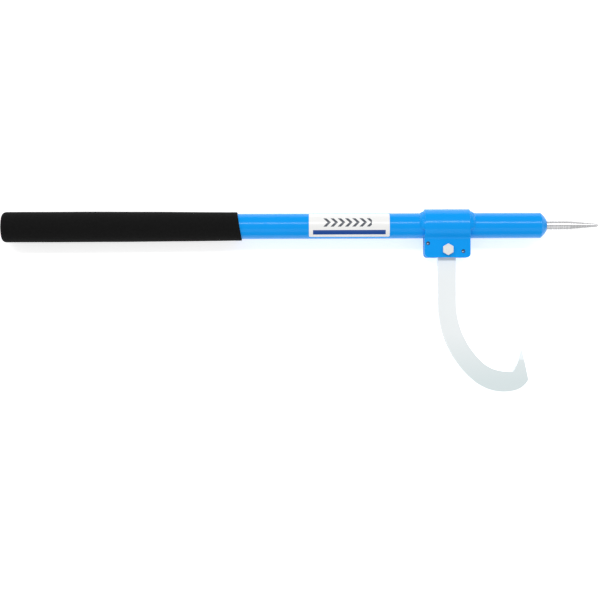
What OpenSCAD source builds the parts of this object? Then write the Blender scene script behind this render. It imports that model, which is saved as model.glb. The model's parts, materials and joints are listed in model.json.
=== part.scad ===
// Short peavey: a tube handle with a foam grip, a steel spike and a hook that swings in a clevis.
// The tool lies flat. X runs along the handle towards the spike, the hook hangs towards -Y,
// and the hook's pivot is parallel to Z. The origin is the centre of the tube's front end.

/* [Handle tube] */
// Outside diameter of the tube
tube_d = 31.75; // [28:0.25:34]
// Wall thickness of the tube
tube_wall = 3.175; // [2:0.125:4]
// Length of the tube
tube_len = 666; // [560:1:900]

/* [Foam grip] */
// Diameter of the grip near its closed end
grip_d = 38.2; // [36:0.2:44]
// Diameter of the grip at its mouth
grip_mouth_d = 35.6; // [34.5:0.1:36]
// Length of the grip from its closed end to the middle of its mouth
grip_len = 298.4; // [200:0.2:360]
// Slant of the mouth's cut edge in degrees
grip_slant = 9; // [0:1:12]
// Thickness of foam behind the tube's plug
grip_end_wall = 5.5; // [4:0.5:10]
// Corner radius of the closed end
grip_end_round = 6; // [3:0.5:8]

/* [Nose and spike] */
// Length of the nose in front of the tube
nose_len = 7.6; // [6:0.2:12]
// Radius of the nose's curved flank
nose_flank_r = 30; // [20:1:60]
// Depth of the nose plug inside the tube
nose_spigot = 45; // [30:1:80]
// Diameter of the spike's straight shank
spike_d = 13; // [11:0.1:14]
// Length of the shank in front of the nose
spike_shank = 29.3; // [20:0.1:50]
// Length of the spike's cone
spike_cone = 35.7; // [20:0.1:60]
// Diameter of the spike's blunt end
spike_end_d = 5; // [3:0.1:8]

/* [Bracket] */
// Length of the bracket along the handle
bracket_len = 57.15; // [50:0.05:80]
// Wall thickness of the bracket's saddle
saddle_wall = 4.8; // [4:0.1:6]
// Distance from the handle's axis to the bottom edge of the ears
ear_drop = 39.8; // [38:0.1:44]
// Thickness of each ear
ear_t = 4.8; // [4:0.1:6]
// Gap between the ears
clevis_gap = 17.8; // [17:0.1:19]
// Radius of the hollow between saddle and ear
ear_fillet = 8.5; // [6:0.5:10]
// Radius of the ears' lower corners
ear_corner = 4.5; // [2:0.5:8]

/* [Hook] */
// Thickness of the hook's plate
hook_t = 12.7; // [11:0.1:13]
// Width of the hook's straight arm
arm_w = 22.2; // [20:0.1:24]
// Length of the arm's straight outer edge, from the pivot to the bend
arm_len = 68.3; // [60:0.1:90]
// Width of the blunt edge at the point
point_edge = 0.9; // [0.5:0.1:2]

/* [Fasteners] */
// Diameter of the pivot bolt
bolt_d = 7.94; // [7:0.01:8.5]
// Width of the bolt head and nut across the flats
hex_af = 12.7; // [12:0.1:13.5]
// Length of the bolt under its head
bolt_len = 38.1; // [37:0.1:42]
// Height of the bolt head
head_h = 5.2; // [4:0.1:6]
// Height of the lock nut
nut_h = 8.7; // [7:0.1:9]
// Diameter of the spring pins that stop the hook
stop_d = 4.8; // [4:0.1:5]

/* [Label] */
// Length of the label along the handle
label_len = 100.4; // [60:0.2:120]
// Angle that the label wraps round the tube
label_wrap = 128; // [90:1:160]

/* [Hidden] */
$fn = 96;

blue = [0.0, 0.58, 0.94];
foam_black = [0.09, 0.09, 0.09];
plate_grey = [0.86, 0.9, 0.89];
bright_steel = [0.78, 0.79, 0.8];
zinc = [0.88, 0.89, 0.9];
label_white = [0.96, 0.96, 0.95];
nylon_white = [0.9, 0.9, 0.86];
dark_steel = [0.4, 0.42, 0.44];
plug_black = [0.12, 0.12, 0.12];

over = 1;             // how far a cutting tool reaches past what it cuts
tube_r = tube_d / 2;
bore_r = tube_r - tube_wall;
plug_r = bore_r - 0.05;
plug_flange = 2.5;
butt_x = -tube_len - plug_flange - grip_end_wall;

spigot_r = spike_d / 2 - 0.5;
spigot_len = 38;

pivot = [-116.4, -29.85];        // hook pivot in the XY plane
bracket_x = pivot[0] - 0.6;      // middle of the bracket along the handle
saddle_r = tube_r + 0.05;
saddle_R = saddle_r + saddle_wall;
ear_z = clevis_gap / 2 + ear_t;  // outside face of an ear
slot_z = clevis_gap / 2;
fillet_z = ear_z + ear_fillet;
fillet_y = -sqrt(pow(saddle_R + ear_fillet, 2) - pow(fillet_z, 2));
saddle_round = 1.2;

weld_leg_x = 6.2;
weld_leg_r = 3.6;
weld_bulge = 0.5;
weld_end_round = 5.6;
weld_from = -20;      // angles round the handle, from +Z towards +Y
weld_to = 82;

label_x = -239;
label_mid = 6;
label_t = 0.2;
label_corner = 2;

hook_bore_r = bolt_d / 2 + 0.08;
arm_shift = -0.9;     // the arm's centre line passes this far from the pivot
bend = [0, -arm_len];            // the bend's start, measured from the pivot
inner_lead = 2.9;                // the inner edge starts to bend this much sooner
outer_radii = [125, 57.5, 27];
outer_turns = [50, 53, 40];
inner_radii = [103.5, 48.5];
inner_turns = [45, 50];
heel = bend + [100.2, -94.6];    // outer corner of the point
foot = bend + [81.3, -84.2];     // where the point leaves the inner curve
point = bend + [92.2, -56.7];
point_hollow_r = 75;
bevel_start = bend + [96.7, -75.1];
bevel_heading = -68;
bevel_tilt = 58;
taper_start = bend + [92, -69.2];
taper_tilt = 21;

washer_t = 2.4;
washer_r = 9.5;
nut_collar = 2.6;     // part of the nut's height that holds the nylon ring
stops = [[-24.85, 7.5], [18.99, -2.4]];  // spring pins, measured from the pivot
stop_wall = 1.1;
stop_slot = 1.2;

// Points on a circle round c, from angle a0 to a1
function arc(c, r, a0, a1, n) = [for (i = [0:n]) let (a = a0 + (a1 - a0) * i / n) c + r * [cos(a), sin(a)]];

// A path of arcs that follow on smoothly, each turning left; heading is the direction it starts in
function bends(p, heading, radii, turns, i = 0) =
    i == len(radii) ? [] :
    let (
        r = radii[i],
        c = p + r * [-sin(heading), cos(heading)],
        pts = arc(c, r, heading - 90, heading - 90 + turns[i], ceil(turns[i] / 2.5))
    )
    concat(pts, bends(pts[len(pts) - 1], heading + turns[i], radii, turns, i + 1));

// An arc of radius r from p to q, with its centre on the right of the way
function arc_between(p, q, r, n) =
    let (
        m = (p + q) / 2,
        d = q - p,
        c = m + sqrt(r * r - d * d / 4) * [d[1], -d[0]] / norm(d),
        a0 = atan2(p[1] - c[1], p[0] - c[0]),
        a1 = atan2(q[1] - c[1], q[0] - c[0])
    )
    arc(c, r, a0, a1 > a0 ? a1 - 360 : a1, n);

function reversed(list) = [for (i = [len(list) - 1:-1:0]) list[i]];

// Turns what is drawn along +Z to run along the handle
module along_handle() {
    rotate([0, 90, 0]) children();
}

// Revolves a profile round the handle between two angles, counted from +Z towards +Y
module round_handle(from, to) {
    along_handle() rotate([0, 0, 180 - to]) rotate_extrude(angle = to - from) children();
}

// Puts a child at the hook's pivot
module at_pivot() {
    translate([pivot[0], pivot[1], 0]) children();
}

module handle_tube() {
    color(blue) along_handle() translate([0, 0, -tube_len]) difference() {
        cylinder(h = tube_len, r = tube_r);
        translate([0, 0, -over]) cylinder(h = tube_len + 2 * over, r = bore_r);
    }
}

// Radius of the grip at a distance s from its closed end: full, then easing down to the mouth
function grip_r(s) = grip_d / 2 - (grip_d - grip_mouth_d) / 2 * pow(max(0, s - 100) / (grip_len - 100), 1.6);

module foam_grip() {
    end_bulge = 2.2;
    corner = grip_end_round;
    stations = [for (s = [20:20:grip_len + 20]) [grip_r(s), s]];
    profile = concat(
        [[0, 0]],
        arc([grip_d / 2 - corner, corner + end_bulge / 2], corner, -80, 0, 10),
        stations,
        [[0, grip_len + 20]]
    );
    color(foam_black) difference() {
        translate([butt_x, 0, 0]) along_handle() rotate_extrude() polygon(profile);
        translate([butt_x + grip_end_wall, 0, 0]) along_handle() cylinder(h = tube_len, r = tube_r);
        translate([butt_x + grip_len, 0, 0]) rotate([0, 0, grip_slant])
            translate([0, -tube_d, -tube_d]) cube([2 * tube_d, 2 * tube_d, 2 * tube_d]);
    }
}

module butt_plug() {
    depth = 20;
    wall = 2;
    color(plug_black) translate([-tube_len, 0, 0]) along_handle() rotate_extrude() polygon([
        [0, -plug_flange], [tube_r - 1, -plug_flange], [tube_r - 0.2, 0.8 - plug_flange], [tube_r - 0.2, 0],
        [plug_r, 0], [plug_r, depth - 1], [plug_r - 1, depth], [plug_r - wall, depth], [plug_r - wall, 0],
        [0, 0]
    ]);
}

module nose_plug() {
    front_r = spike_d / 2 + 0.2;
    flank = arc_between([front_r, nose_len], [tube_r, 0], nose_flank_r, 12);
    color(blue) along_handle() rotate_extrude() polygon(concat(
        [[0, -nose_spigot], [plug_r - 1.5, -nose_spigot], [plug_r, 1.5 - nose_spigot], [plug_r, 0]],
        reversed(flank),
        [[spigot_r, nose_len], [spigot_r, nose_len - spigot_len - 2], [0, nose_len - spigot_len - 5]]
    ));
}

module tip() {
    cone_x = nose_len + spike_shank;
    end_x = cone_x + spike_cone;
    end_r = spike_end_d / 2;
    color(bright_steel) along_handle() rotate_extrude() polygon(concat(
        [[0, nose_len - spigot_len], [spigot_r - 1, nose_len - spigot_len]],
        [[spigot_r, nose_len - spigot_len + 1], [spigot_r, nose_len], [spike_d / 2, nose_len]],
        [[spike_d / 2, cone_x]],
        arc([0, end_x - end_r], end_r, 6, 90, 8)
    ));
}

// Outline of the ears seen from the bolt head's side
module ear_outline() {
    half = bracket_len / 2;
    translate([-half, ear_corner - ear_drop]) square([bracket_len, ear_drop]);
    translate([ear_corner - half, -ear_drop]) square([bracket_len - 2 * ear_corner, ear_drop]);
    for (side = [-1, 1]) translate([side * (half - ear_corner), ear_corner - ear_drop]) circle(ear_corner);
}

// Section through both ears and the hollows that lead to them, drawn in the YZ plane
module ear_section() {
    turn = saddle_R / (saddle_R + ear_fillet);
    difference() {
        union() {
            translate([-ear_drop, -ear_z]) square([ear_drop + fillet_y + 1, 2 * ear_z]);
            for (side = [-1, 1]) polygon([
                [fillet_y, side * slot_z], [fillet_y, side * ear_z],
                [fillet_y * turn, side * fillet_z * turn], [fillet_y * turn, side * slot_z]
            ]);
        }
        for (side = [-1, 1]) translate([fillet_y, side * fillet_z]) circle(ear_fillet);
    }
}

module bracket() {
    round_R = saddle_R - saddle_round;
    half = bracket_len / 2;
    color(blue) difference() {
        translate([bracket_x, 0, 0]) union() {
            along_handle() rotate_extrude() polygon(concat(
                [[saddle_r, -half]],
                arc([round_R, saddle_round - half], saddle_round, -90, 0, 6),
                arc([round_R, half - saddle_round], saddle_round, 0, 90, 6),
                [[saddle_r, half]]
            ));
            intersection() {
                rotate([90, 0, 90]) linear_extrude(bracket_len, center = true) ear_section();
                linear_extrude(4 * ear_z, center = true) ear_outline();
            }
        }
        translate([bracket_x - bracket_len, -2 * ear_drop, -slot_z])
            cube([2 * bracket_len, 2 * ear_drop, clevis_gap]);
        translate([bracket_x - bracket_len, 0, 0]) along_handle() cylinder(h = 2 * bracket_len, r = saddle_r);
        at_pivot() cylinder(h = 4 * ear_z, r = bolt_d / 2, center = true);
        for (stop = stops) at_pivot() translate(stop) cylinder(h = 4 * ear_z, r = stop_d / 2, center = true);
    }
}

// What is trimmed off a corner at the origin to round it, where the sheet lies towards -X and -Y
module corner_trim(size) {
    pts = arc([-size, -size], size, 0, 90, 5);
    polygon(concat(
        [4 * pts[0] - 3 * pts[1]],
        [for (i = [1:4]) pts[i]],
        [4 * pts[5] - 3 * pts[4], [over, over]]
    ));
}

// Section of a weld bead: a slightly full triangle in the corner between saddle and tube
module weld_section() {
    toe = [weld_leg_x, 0];
    top = [0, weld_leg_r];
    span = norm(toe - top);
    r = span * span / (8 * weld_bulge) + weld_bulge / 2;
    polygon(concat([[0, 0]], reversed(arc_between(top, toe, r, 5))));
}

// One bead on the saddle's end at x, lying from weld_from to weld_to, with rounded ends
module weld_bead(x, side) {
    translate([x, 0, 0]) mirror([side < 0 ? 1 : 0, 0, 0]) difference() {
        round_handle(weld_from, weld_to) translate([tube_r, 0]) mirror([1, -1]) weld_section();
        for (end = [weld_from, weld_to]) rotate([-end, 0, 0]) mirror([0, end == weld_to ? 0 : 1, 0])
            translate([weld_leg_x, 0, tube_r - 4]) linear_extrude(12) corner_trim(weld_end_round);
    }
}

// The two beads at one end of the bracket, on the upper and the lower side of the tube
module weld_pair(side) {
    x = bracket_x + side * bracket_len / 2;
    color(blue) {
        weld_bead(x, side);
        mirror([0, 0, 1]) weld_bead(x, side);
    }
}

module rear_weld_beads() {
    weld_pair(-1);
}

module front_weld_beads() {
    weld_pair(1);
}

module label() {
    half_wrap = label_wrap / 2;
    color(label_white) translate([label_x, 0, 0]) difference() {
        round_handle(label_mid - half_wrap, label_mid + half_wrap)
            translate([tube_r, -label_len / 2]) square([label_t, label_len]);
        for (end = [0, 1], edge = [-1, 1]) mirror([end, 0, 0]) rotate([-label_mid - edge * half_wrap, 0, 0])
            mirror([0, edge < 0 ? 1 : 0, 0]) translate([label_len / 2, 0, tube_r - over])
                linear_extrude(2 * over + label_t) corner_trim(label_corner);
    }
}

// Outline of the hook, measured from its pivot
function hook_outline() =
    let (
        left = arm_shift - arm_w / 2,
        right = arm_shift + arm_w / 2,
        blunt = [point_edge / 2, 0]
    )
    concat(
        bends(bend + [left, 0], -90, outer_radii, outer_turns),
        [heel, point + blunt],
        arc_between(point - blunt, foot, point_hollow_r, 8),
        reversed(bends(bend + [right, inner_lead], -90, inner_radii, inner_turns)),
        arc([arm_shift, 0], arm_w / 2, 0, 180, 36)
    );

// Cuts a ground face that starts on the plate at p, along a heading, and falls away to its left
module grind(p, heading, tilt) {
    reach = 2 * hook_t;
    translate([p[0], p[1], hook_t / 2]) rotate([0, 0, heading]) rotate([-tilt, 0, 0])
        translate([-reach, 0, 0]) cube([2 * reach, 2 * reach, reach]);
}

module hook() {
    color(plate_grey) at_pivot() difference() {
        linear_extrude(hook_t, center = true) polygon(hook_outline());
        cylinder(h = 2 * hook_t, r = hook_bore_r, center = true);
        for (face = [0, 1]) mirror([0, 0, face]) {
            grind(taper_start, 0, taper_tilt);
            grind(bevel_start, bevel_heading, bevel_tilt);
        }
    }
}

// A hexagonal prism with its corners towards +Y and -Y
module hex(height) {
    rotate([0, 0, 30]) cylinder(h = height, d = hex_af / cos(30), $fn = 6);
}

module pivot_bolt() {
    crown = hex_af * 0.47;
    color(zinc) at_pivot() translate([0, 0, ear_z]) {
        intersection() {
            hex(head_h);
            cylinder(h = head_h, r1 = crown + head_h * 1.7, r2 = crown);
        }
        translate([0, 0, -bolt_len]) cylinder(h = bolt_len + over, r = bolt_d / 2);
    }
}

module lock_nut() {
    hex_h = nut_h - nut_collar;
    collar_r = hex_af / 2 - 0.3;
    color(zinc) at_pivot() translate([0, 0, -ear_z]) mirror([0, 0, 1]) difference() {
        union() {
            intersection() {
                hex(hex_h);
                cylinder(h = hex_h, r1 = hex_af * 0.49, r2 = hex_af * 0.49 + hex_h * 1.7);
            }
            cylinder(h = nut_h, r = collar_r);
        }
        translate([0, 0, -over]) cylinder(h = nut_h + 2 * over, r = bolt_d / 2);
        translate([0, 0, hex_h]) cylinder(h = nut_collar - 0.5, r = collar_r - 0.9);
    }
}

module lock_nut_insert() {
    hex_h = nut_h - nut_collar;
    color(nylon_white) at_pivot() translate([0, 0, -ear_z - hex_h]) mirror([0, 0, 1]) difference() {
        cylinder(h = nut_collar - 0.5, r = hex_af / 2 - 1.2);
        translate([0, 0, -over]) cylinder(h = nut_h, r = bolt_d / 2);
    }
}

module thrust_washer() {
    difference() {
        cylinder(h = washer_t, r = washer_r);
        translate([0, 0, -over]) cylinder(h = washer_t + 2 * over, r = bolt_d / 2);
    }
}

module upper_thrust_washer() {
    color(zinc) at_pivot() translate([0, 0, slot_z - washer_t]) thrust_washer();
}

module lower_thrust_washer() {
    color(zinc) at_pivot() translate([0, 0, -slot_z]) thrust_washer();
}

// A slotted spring pin, flush with both ears
module stop_pin(stop) {
    lead = 0.6;
    r = stop_d / 2;
    at_pivot() translate(stop) difference() {
        rotate_extrude() polygon([
            [r - stop_wall, -ear_z], [r - lead, -ear_z], [r, lead - ear_z],
            [r, ear_z - lead], [r - lead, ear_z], [r - stop_wall, ear_z]
        ]);
        translate([0, -stop_slot / 2, -2 * ear_z]) cube([stop_d, stop_slot, 4 * ear_z]);
    }
}

module rear_stop_pin() {
    color(dark_steel) stop_pin(stops[0]);
}

module front_stop_pin() {
    color(dark_steel) stop_pin(stops[1]);
}

handle_tube();
foam_grip();
butt_plug();
nose_plug();
tip();
bracket();
rear_weld_beads();
front_weld_beads();
label();
hook();
pivot_bolt();
lock_nut();
lock_nut_insert();
upper_thrust_washer();
lower_thrust_washer();
rear_stop_pin();
front_stop_pin();
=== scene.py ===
"""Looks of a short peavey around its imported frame. Metres; X runs to the spike, the hook lies towards -Y."""

import json
import math

import bpy
import numpy as np
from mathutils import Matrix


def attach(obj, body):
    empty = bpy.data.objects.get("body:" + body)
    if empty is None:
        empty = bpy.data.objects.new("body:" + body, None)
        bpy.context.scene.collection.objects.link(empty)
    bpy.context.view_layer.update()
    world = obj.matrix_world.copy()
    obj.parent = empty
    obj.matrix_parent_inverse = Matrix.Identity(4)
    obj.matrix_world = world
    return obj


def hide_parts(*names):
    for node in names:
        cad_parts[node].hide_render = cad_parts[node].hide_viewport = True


MM = 0.001
METAL_GRAIN_DEPTH = 0.00003
TUBE_R = 15.875
BUTT_X = -674.0
GRIP_R, MOUTH_R, GRIP_LEN, GRIP_END_WALL, GRIP_CORNER = 19.1, 17.8, 298.4, 5.5, 6.0
MOUTH_SLANT = math.tan(math.radians(9))
SADDLE_MID, SADDLE_HALF = -117.0, 28.575
WELD_X, WELD_R, WELD_FROM, WELD_TO = 6.2, 3.6, -20.0, 82.0
LABEL_X, LABEL_LEN, LABEL_MID, LABEL_WRAP, LABEL_CORNER = -239.0, 100.4, 6.0, 128.0, 2.0

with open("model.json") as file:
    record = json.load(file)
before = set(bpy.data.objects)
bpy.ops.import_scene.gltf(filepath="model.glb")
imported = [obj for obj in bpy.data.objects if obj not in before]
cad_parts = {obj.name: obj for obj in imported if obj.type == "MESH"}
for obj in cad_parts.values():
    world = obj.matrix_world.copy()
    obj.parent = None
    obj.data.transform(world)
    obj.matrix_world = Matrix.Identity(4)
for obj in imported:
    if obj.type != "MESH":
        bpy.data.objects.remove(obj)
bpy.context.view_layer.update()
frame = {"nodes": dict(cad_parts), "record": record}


# ---------------------------------------------------------------- shader maths


class Value:
    """A shader socket that takes part in sums, as a number would."""

    def __init__(self, shader, socket):
        self.shader, self.socket = shader, socket

    def op(self, kind, *others):
        return self.shader.node("ShaderNodeMath", {"operation": kind}, dict(enumerate([self, *others])))

    def __add__(self, other):
        return self.op("ADD", other)

    def __radd__(self, other):
        return self.op("ADD", other)

    def __sub__(self, other):
        return self.op("SUBTRACT", other)

    def __rsub__(self, other):
        return (self * -1.0) + other

    def __mul__(self, other):
        return self.op("MULTIPLY", other)

    def __rmul__(self, other):
        return self.op("MULTIPLY", other)

    def __truediv__(self, other):
        return self.op("DIVIDE", other)


class Shader:
    """One material: a Principled shader whose constants are set directly and whose patterns are linked."""

    def __init__(self, name, constants):
        self.material = bpy.data.materials.new(name)
        self.material.use_nodes = True
        self.tree = self.material.node_tree
        self.bsdf = self.tree.nodes["Principled BSDF"]
        for key, value in constants.items():
            self.bsdf.inputs[key].default_value = value

    def node(self, kind, settings=None, inputs=None, out=0):
        made = self.tree.nodes.new(kind)
        for key, value in (settings or {}).items():
            setattr(made, key, value)
        for key, value in (inputs or {}).items():
            if isinstance(value, Value):
                self.tree.links.new(value.socket, made.inputs[key])
            else:
                made.inputs[key].default_value = value
        return Value(self, made.outputs[out])

    def place(self):
        return self.node("ShaderNodeTexCoord", out="Object")

    def xyz(self):
        place = self.place()
        return [self.node("ShaderNodeSeparateXYZ", inputs={0: place}, out=i) for i in range(3)]

    def noise(self, scale, detail=3.0, stretch=(1, 1, 1)):
        at = self.node("ShaderNodeMapping", inputs={"Vector": self.place(), "Scale": stretch})
        return self.node("ShaderNodeTexNoise", inputs={"Vector": at, "Scale": scale, "Detail": detail})

    def mix(self, factor, low, high):
        """A colour between two, each given as three numbers or as a socket."""
        low, high = [(*c, 1) if isinstance(c, tuple) else c for c in (low, high)]
        return self.node("ShaderNodeMix", {"data_type": "RGBA"}, {0: factor, 6: low, 7: high}, 2)

    def feed(self, name, value):
        self.tree.links.new(value.socket, self.bsdf.inputs[name])
        return self

    def bump(self, height, depth):
        made = self.node("ShaderNodeBump", inputs={"Height": height, "Distance": depth, "Strength": 1.0})
        return self.feed("Normal", made)


def paint():
    """Glossy powder coat: slight orange peel, and a tone that varies a little over some centimetres."""
    s = Shader("blue_coat", {"Roughness": 0.24, "Specular IOR Level": 0.15, "Coat Weight": 0.25,
                             "Coat Roughness": 0.08})
    s.feed("Base Color", s.mix(s.noise(18), (0.0, 0.3, 0.84), (0.0, 0.335, 0.9)))
    return s.bump(s.noise(900, 2.0), 0.00004).material


def foam():
    """Matte black closed-cell foam: fine cells, and pores in the skin."""
    s = Shader("black_foam", {"Roughness": 0.93, "Specular IOR Level": 0.18})
    cells = s.node(
        "ShaderNodeTexVoronoi", {"feature": "DISTANCE_TO_EDGE"}, {"Vector": s.place(), "Scale": 950.0}
    )
    s.feed("Base Color", s.mix(s.noise(350), (0.0035, 0.0035, 0.0035), (0.0075, 0.0075, 0.0075)))
    return s.bump(cells * 0.7 + s.noise(1500) * 0.5, 0.00018).material


def steel(name, low, high, roughness, grain, stretch, metallic=1.0):
    """Bare or plated metal whose grain runs across the stretched direction."""
    s = Shader(name, {"Metallic": metallic})
    grain_noise = s.noise(grain, 4.0, stretch)
    s.feed("Base Color", s.mix(s.noise(25), low, high))
    s.feed("Roughness", grain_noise * 0.16 + (roughness - 0.08))
    return s.bump(grain_noise, METAL_GRAIN_DEPTH).material


def hook_plate():
    """Pale zinc plate, satin, with painted shade that darkens it towards the lowest part of the curve."""
    s = Shader("plated_plate", {"Metallic": 0.12})
    grain = s.noise(500, 4.0)
    # painted shade: the base colour darkens over 6 cm beyond y = -0.135 m, towards the lowest part of the
    # curve
    low_arc_painted_shade = ((-0.135 - s.xyz()[1]) / 0.06).op("MAXIMUM", 0.0).op("MINIMUM", 1.0)
    pale = s.mix(s.noise(25), (0.88, 0.92, 0.93), (0.93, 0.97, 0.98))
    s.feed("Base Color", s.mix(low_arc_painted_shade, pale, (0.76, 0.85, 0.86)))
    s.feed("Roughness", grain * 0.16 + 0.36)
    return s.bump(grain, METAL_GRAIN_DEPTH).material


def plastic(name, low, high, roughness):
    """Moulded plastic: an even tone with a fine grain."""
    s = Shader(name, {"Roughness": roughness})
    s.feed("Base Color", s.mix(s.noise(60), low, high))
    return s.bump(s.noise(700, 2.0), 0.00004).material


def label_print():
    """White film with a plain motif: a row of grey chevrons over a blue band, inside a white margin."""
    s = Shader("printed_film", {"Roughness": 0.3, "Specular IOR Level": 0.4, "Coat Weight": 0.2})
    x, y, z = s.xyz()
    along = (x - LABEL_X * MM) * 1000.0
    across = y.op("ARCTAN2", z) * (TUBE_R + 0.2) - math.radians(LABEL_MID) * (TUBE_R + 0.2)
    # the band and the row of chevrons, each by its middle and half width across the label
    band = (across + 10.5).op("ABSOLUTE").op("LESS_THAN", 3.2)
    inside = along.op("ABSOLUTE").op("LESS_THAN", LABEL_LEN / 2 - 5)
    rank = ((along + (across - 2.5).op("ABSOLUTE")) / 9.0).op("FRACT").op("LESS_THAN", 0.45)
    row = (across - 2.5).op("ABSOLUTE").op("LESS_THAN", 5.5)
    reach = (along + 2.0).op("ABSOLUTE").op("LESS_THAN", 30.0)
    white = s.mix(s.noise(40), (0.84, 0.84, 0.83), (0.9, 0.9, 0.89))
    marked = s.mix(rank * row * reach, white, (0.09, 0.1, 0.12))
    s.feed("Base Color", s.mix(band * inside, marked, (0.004, 0.06, 0.3)))
    return s.bump(s.noise(300, 2.0), 0.00002).material


LOOKS = {
    "blue_paint": paint(),
    "foam": foam(),
    "black_plastic": plastic("moulded_black", (0.012, 0.012, 0.012), (0.02, 0.02, 0.02), 0.5),
    "turned_steel": steel(
        "turned_bright", (0.8, 0.8, 0.81), (0.92, 0.92, 0.93), 0.26, 60.0, (60, 1, 1), 0.55
    ),
    "label_film": label_print(),
    "hook_plate": hook_plate(),
    "zinc": steel("bright_zinc", (0.88, 0.89, 0.9), (0.97, 0.97, 0.98), 0.3, 600.0, (1, 1, 1), 0.25),
    "nylon": plastic("natural_nylon", (0.74, 0.73, 0.66), (0.8, 0.79, 0.72), 0.45),
    "spring_steel": steel("oiled_spring", (0.16, 0.16, 0.17), (0.24, 0.24, 0.25), 0.4, 500.0, (1, 1, 1)),
}


# ---------------------------------------------------------------- surfaces


def signed_volume(points, faces):
    """Six times the volume that the faces enclose: positive where they point outwards."""
    total = 0.0
    for f in faces:
        for i in range(1, len(f) - 1):
            total += float(np.dot(points[f[0]], np.cross(points[f[i]], points[f[i + 1]])))
    return total


def shell(rings, flat_ends=False):
    """Closed surface through rings of points: each joins the next, and a flat strip or a pole ends it."""
    count, around = rings.shape[:2]
    points = rings.reshape(-1, 3)
    index = np.arange(count * around).reshape(count, around)
    a, b = index[:-1], index[1:]
    faces = np.stack([a, np.roll(a, -1, 1), np.roll(b, -1, 1), b], -1).reshape(-1, 4).tolist()
    first, last = index[0].tolist(), index[-1].tolist()
    if flat_ends:
        for j in range(around // 2 - 1):
            k = around - 1 - j
            faces.append([first[j + 1], first[j], first[k], first[k - 1]])
            faces.append([last[j], last[j + 1], last[k - 1], last[k]])
    else:
        points = np.vstack([points, rings[0].mean(0), rings[-1].mean(0)])
        pole = count * around
        for j in range(around):
            k = (j + 1) % around
            faces.append([first[k], first[j], pole])
            faces.append([last[j], last[k], pole + 1])
    if signed_volume(points, faces) < 0:
        faces = [f[::-1] for f in faces]
    return points, faces


def piece(name, shells, body, slot_name, replaced, crease=40):
    """One object from closed shells, given in millimetres in the frame, that stands for CAD nodes."""
    points, faces, start = [], [], 0
    for p, f in shells:
        points.append(p)
        faces += [[i + start for i in face] for face in f]
        start += len(p)
    mesh = bpy.data.meshes.new(name)
    mesh.from_pydata((np.vstack(points) * MM).tolist(), [], faces)
    mesh.polygons.foreach_set("use_smooth", [True] * len(faces))
    mesh.set_sharp_from_angle(angle=math.radians(crease))
    mesh.materials.append(LOOKS[slot_name])
    mesh.validate()
    obj = bpy.data.objects.new(name, mesh)
    bpy.context.scene.collection.objects.link(obj)
    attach(obj, body)
    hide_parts(*replaced)
    return obj


def foam_sleeve():
    """A profile turned round the handle: domed closed end, rounded corner, sides that ease down to the
    mouth as the power 1.6 of the distance, rounded lip and inner wall. Near the mouth each point moves along
    the handle by its sideways place times the slant."""
    slope = np.linspace(0.5, 14.1, 14)
    profile = [(1.19 * (r / 14.14) ** 2, r) for r in slope]
    for a in np.radians(np.linspace(-80, 0, 14)):
        s = GRIP_CORNER + 1.1 + GRIP_CORNER * math.sin(a)
        profile.append((s, GRIP_R - GRIP_CORNER + GRIP_CORNER * math.cos(a)))
    for s in np.linspace(12, GRIP_LEN - 1.2, 110):
        ease = (GRIP_R - MOUTH_R) * (max(0.0, s - 100) / (GRIP_LEN - 100)) ** 1.6
        profile.append((s, GRIP_R - ease))
    for a in np.radians(np.linspace(10, 90, 7)):
        profile.append((GRIP_LEN - 0.9 + 0.9 * math.sin(a), MOUTH_R - 0.9 + 0.9 * math.cos(a)))
    inner = TUBE_R + 0.05
    profile += [(GRIP_LEN, inner + 0.35), (GRIP_LEN - 0.35, inner)]
    profile += [(s, inner) for s in np.linspace(GRIP_LEN - 5, GRIP_END_WALL + 0.05, 30)]
    profile += [(GRIP_END_WALL + 0.05, r) for r in (8.0, 0.5)]
    s, r = np.array(profile).T
    turn = np.linspace(0, 2 * math.pi, 96, endpoint=False)
    share = np.clip((s - (GRIP_LEN - 60)) / 59, 0, 1)
    share = (share * share * (3 - 2 * share))[:, None]
    waver = np.where(r > MOUTH_R - 0.2, 1.0, 0.0)[:, None] * np.where(s < GRIP_LEN - 8, 1.0, 0.0)[:, None]
    dent = 0.09 * waver * (1 + np.sin(3 * turn + s[:, None] / 37) * np.sin(s[:, None] / 23))
    radius = r[:, None] - dent
    y, z = radius * np.sin(turn), radius * np.cos(turn)
    x = BUTT_X + s[:, None] - y * MOUTH_SLANT * share
    return shell(np.stack([x, y, z], -1))


def weld(side, under):
    """A bead swept round the tube: its section is a slightly full triangle that narrows at both ends, and
    its face rises and falls as a sine of the way along it, pushed back in the middle so that the ripples
    are crescents."""
    t = np.linspace(0, 1, 150)[:, None]
    q = np.linspace(0, 1, 13)[None, :]
    size = 1 - 0.72 * np.abs(2 * t - 1) ** 9
    way = t * math.radians(WELD_TO - WELD_FROM) * TUBE_R
    ripple = 1 + 0.035 * np.sin(2 * math.pi * (way / 1.7 - 0.55 * np.sin(math.pi * q))) * np.sin(math.pi * q)
    full = 0.5 * np.sin(math.pi * q) * 0.8
    leg = (WELD_X * (1 - q) + full * 0.5) * size * ripple
    rise = (WELD_R * q + full * 0.86) * size * ripple
    leg = np.hstack([leg, np.full_like(t, -0.1)])
    rise = np.hstack([rise, np.full_like(t, -0.3)])
    angle = np.radians(WELD_FROM + (WELD_TO - WELD_FROM) * t) * np.ones_like(leg)
    x = SADDLE_MID + side * (SADDLE_HALF + leg)
    y = (TUBE_R + rise) * np.sin(angle)
    z = (TUBE_R + rise) * np.cos(angle) * (-1 if under else 1)
    return shell(np.stack([x, y, z], -1))


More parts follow.
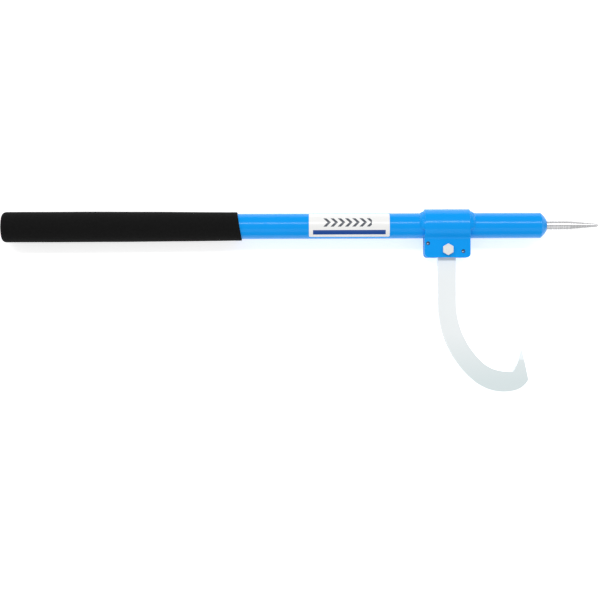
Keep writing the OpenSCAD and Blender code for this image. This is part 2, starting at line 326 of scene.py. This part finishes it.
def label_sheet():
    """A thin sheet bent round the tube: its half width across shrinks by a quarter circle at each end."""
    half = LABEL_LEN / 2
    ease = np.concatenate([np.linspace(0, 1, 10) ** 2 * LABEL_CORNER, [half]])
    along = np.concatenate([-half + ease, (half - ease)[::-1][1:]])
    short = np.clip(LABEL_CORNER - (half - np.abs(along)), 0, LABEL_CORNER)
    cut = LABEL_CORNER - np.sqrt(LABEL_CORNER**2 - short**2)
    reach = math.radians(LABEL_WRAP / 2) - cut / TUBE_R
    turn = math.radians(LABEL_MID) + np.linspace(-1, 1, 70)[None, :] * reach[:, None]
    sides = []
    for radius, order in ((TUBE_R + 0.2, 1), (TUBE_R + 0.02, -1)):
        a = turn[:, ::order]
        x = np.repeat((LABEL_X + along)[:, None], a.shape[1], 1)
        sides.append(np.stack([x, radius * np.sin(a), radius * np.cos(a)], -1))
    return shell(np.concatenate(sides, 1), flat_ends=True)


slots = {row["node"]: row["material_slot"] for row in frame["record"]["subparts"]}
for node_name, obj in frame["nodes"].items():
    obj.data.materials.clear()
    obj.data.materials.append(LOOKS[slots[node_name]])

piece("grip_sleeve", [foam_sleeve()], "handle", "foam", ["foam_grip"])
for side, end in ((-1, "rear"), (1, "front")):
    beads = [weld(side, False), weld(side, True)]
    piece(f"rippled_{end}_welds", beads, "handle", "blue_paint", [f"{end}_weld_beads"], 60)
piece("printed_label", [label_sheet()], "handle", "label_film", ["label"], 50)


# ---------------------------------------------------------------- studio


def area_light(name, place, aim, size, power):
    """A rectangular lamp whose long side lies along the handle, turned about X to face its aim."""
    data = bpy.data.lights.new(name, "AREA")
    data.shape, data.size, data.size_y, data.energy = "RECTANGLE", size[0], size[1], power
    lamp = bpy.data.objects.new(name, data)
    bpy.context.scene.collection.objects.link(lamp)
    lamp.location = place
    towards = np.array(aim) - np.array(place)
    lamp.rotation_euler = (math.atan2(towards[1], -towards[2]), 0, 0)


FLOOR_Z = -0.0246
WORLD_LIGHT, WORLD_IN_REFLECTIONS = 0.58, 0.18

floor_mesh = bpy.data.meshes.new("floor")
corners = [(-8, -8), (8, -8), (8, 8), (-8, 8)]
floor_mesh.from_pydata([(x, y, FLOOR_Z) for x, y in corners], [], [(0, 1, 2, 3)])
floor_look = Shader("pale_floor", {
    "Base Color": (0.9, 0.9, 0.9, 1), "Roughness": 0.9, "Specular IOR Level": 0.0,
    "Emission Color": (1, 1, 1, 1), "Emission Strength": 0.5,
})
floor_mesh.materials.append(floor_look.material)
floor = bpy.data.objects.new("floor", floor_mesh)
bpy.context.scene.collection.objects.link(floor)

world = bpy.data.worlds.new("studio")
world.use_nodes = True
background = world.node_tree.nodes["Background"]
background.inputs[0].default_value = (1, 1, 1, 1)
path = world.node_tree.nodes.new("ShaderNodeLightPath")
dim = world.node_tree.nodes.new("ShaderNodeMath")
dim.operation = "MULTIPLY_ADD"
dim.inputs[1].default_value = WORLD_IN_REFLECTIONS - WORLD_LIGHT
dim.inputs[2].default_value = WORLD_LIGHT
world.node_tree.links.new(path.outputs["Is Glossy Ray"], dim.inputs[0])
world.node_tree.links.new(dim.outputs[0], background.inputs[1])
bpy.context.scene.world = world
bpy.context.scene.view_settings.view_transform = "Standard"

area_light("strip", (-0.3, 0.66, 1.35), (-0.3, 0, 0), (2.6, 0.22), 14)
area_light("fill", (-0.3, -1.1, 1.3), (-0.3, 0, 0), (1.6, 0.9), 3)

VIEW_CENTRE, VIEW_WIDTH, CAMERA_HEIGHT = (-0.3006, -0.0922), 0.75, 2.2
lens = bpy.data.cameras.new("camera")
lens.sensor_width = 36
lens.lens = 36 * CAMERA_HEIGHT / VIEW_WIDTH
camera = bpy.data.objects.new("camera", lens)
bpy.context.scene.collection.objects.link(camera)
camera.location = (*VIEW_CENTRE, CAMERA_HEIGHT)
camera.rotation_euler = (0, 0, -math.radians(0.2))
bpy.context.scene.camera = camera
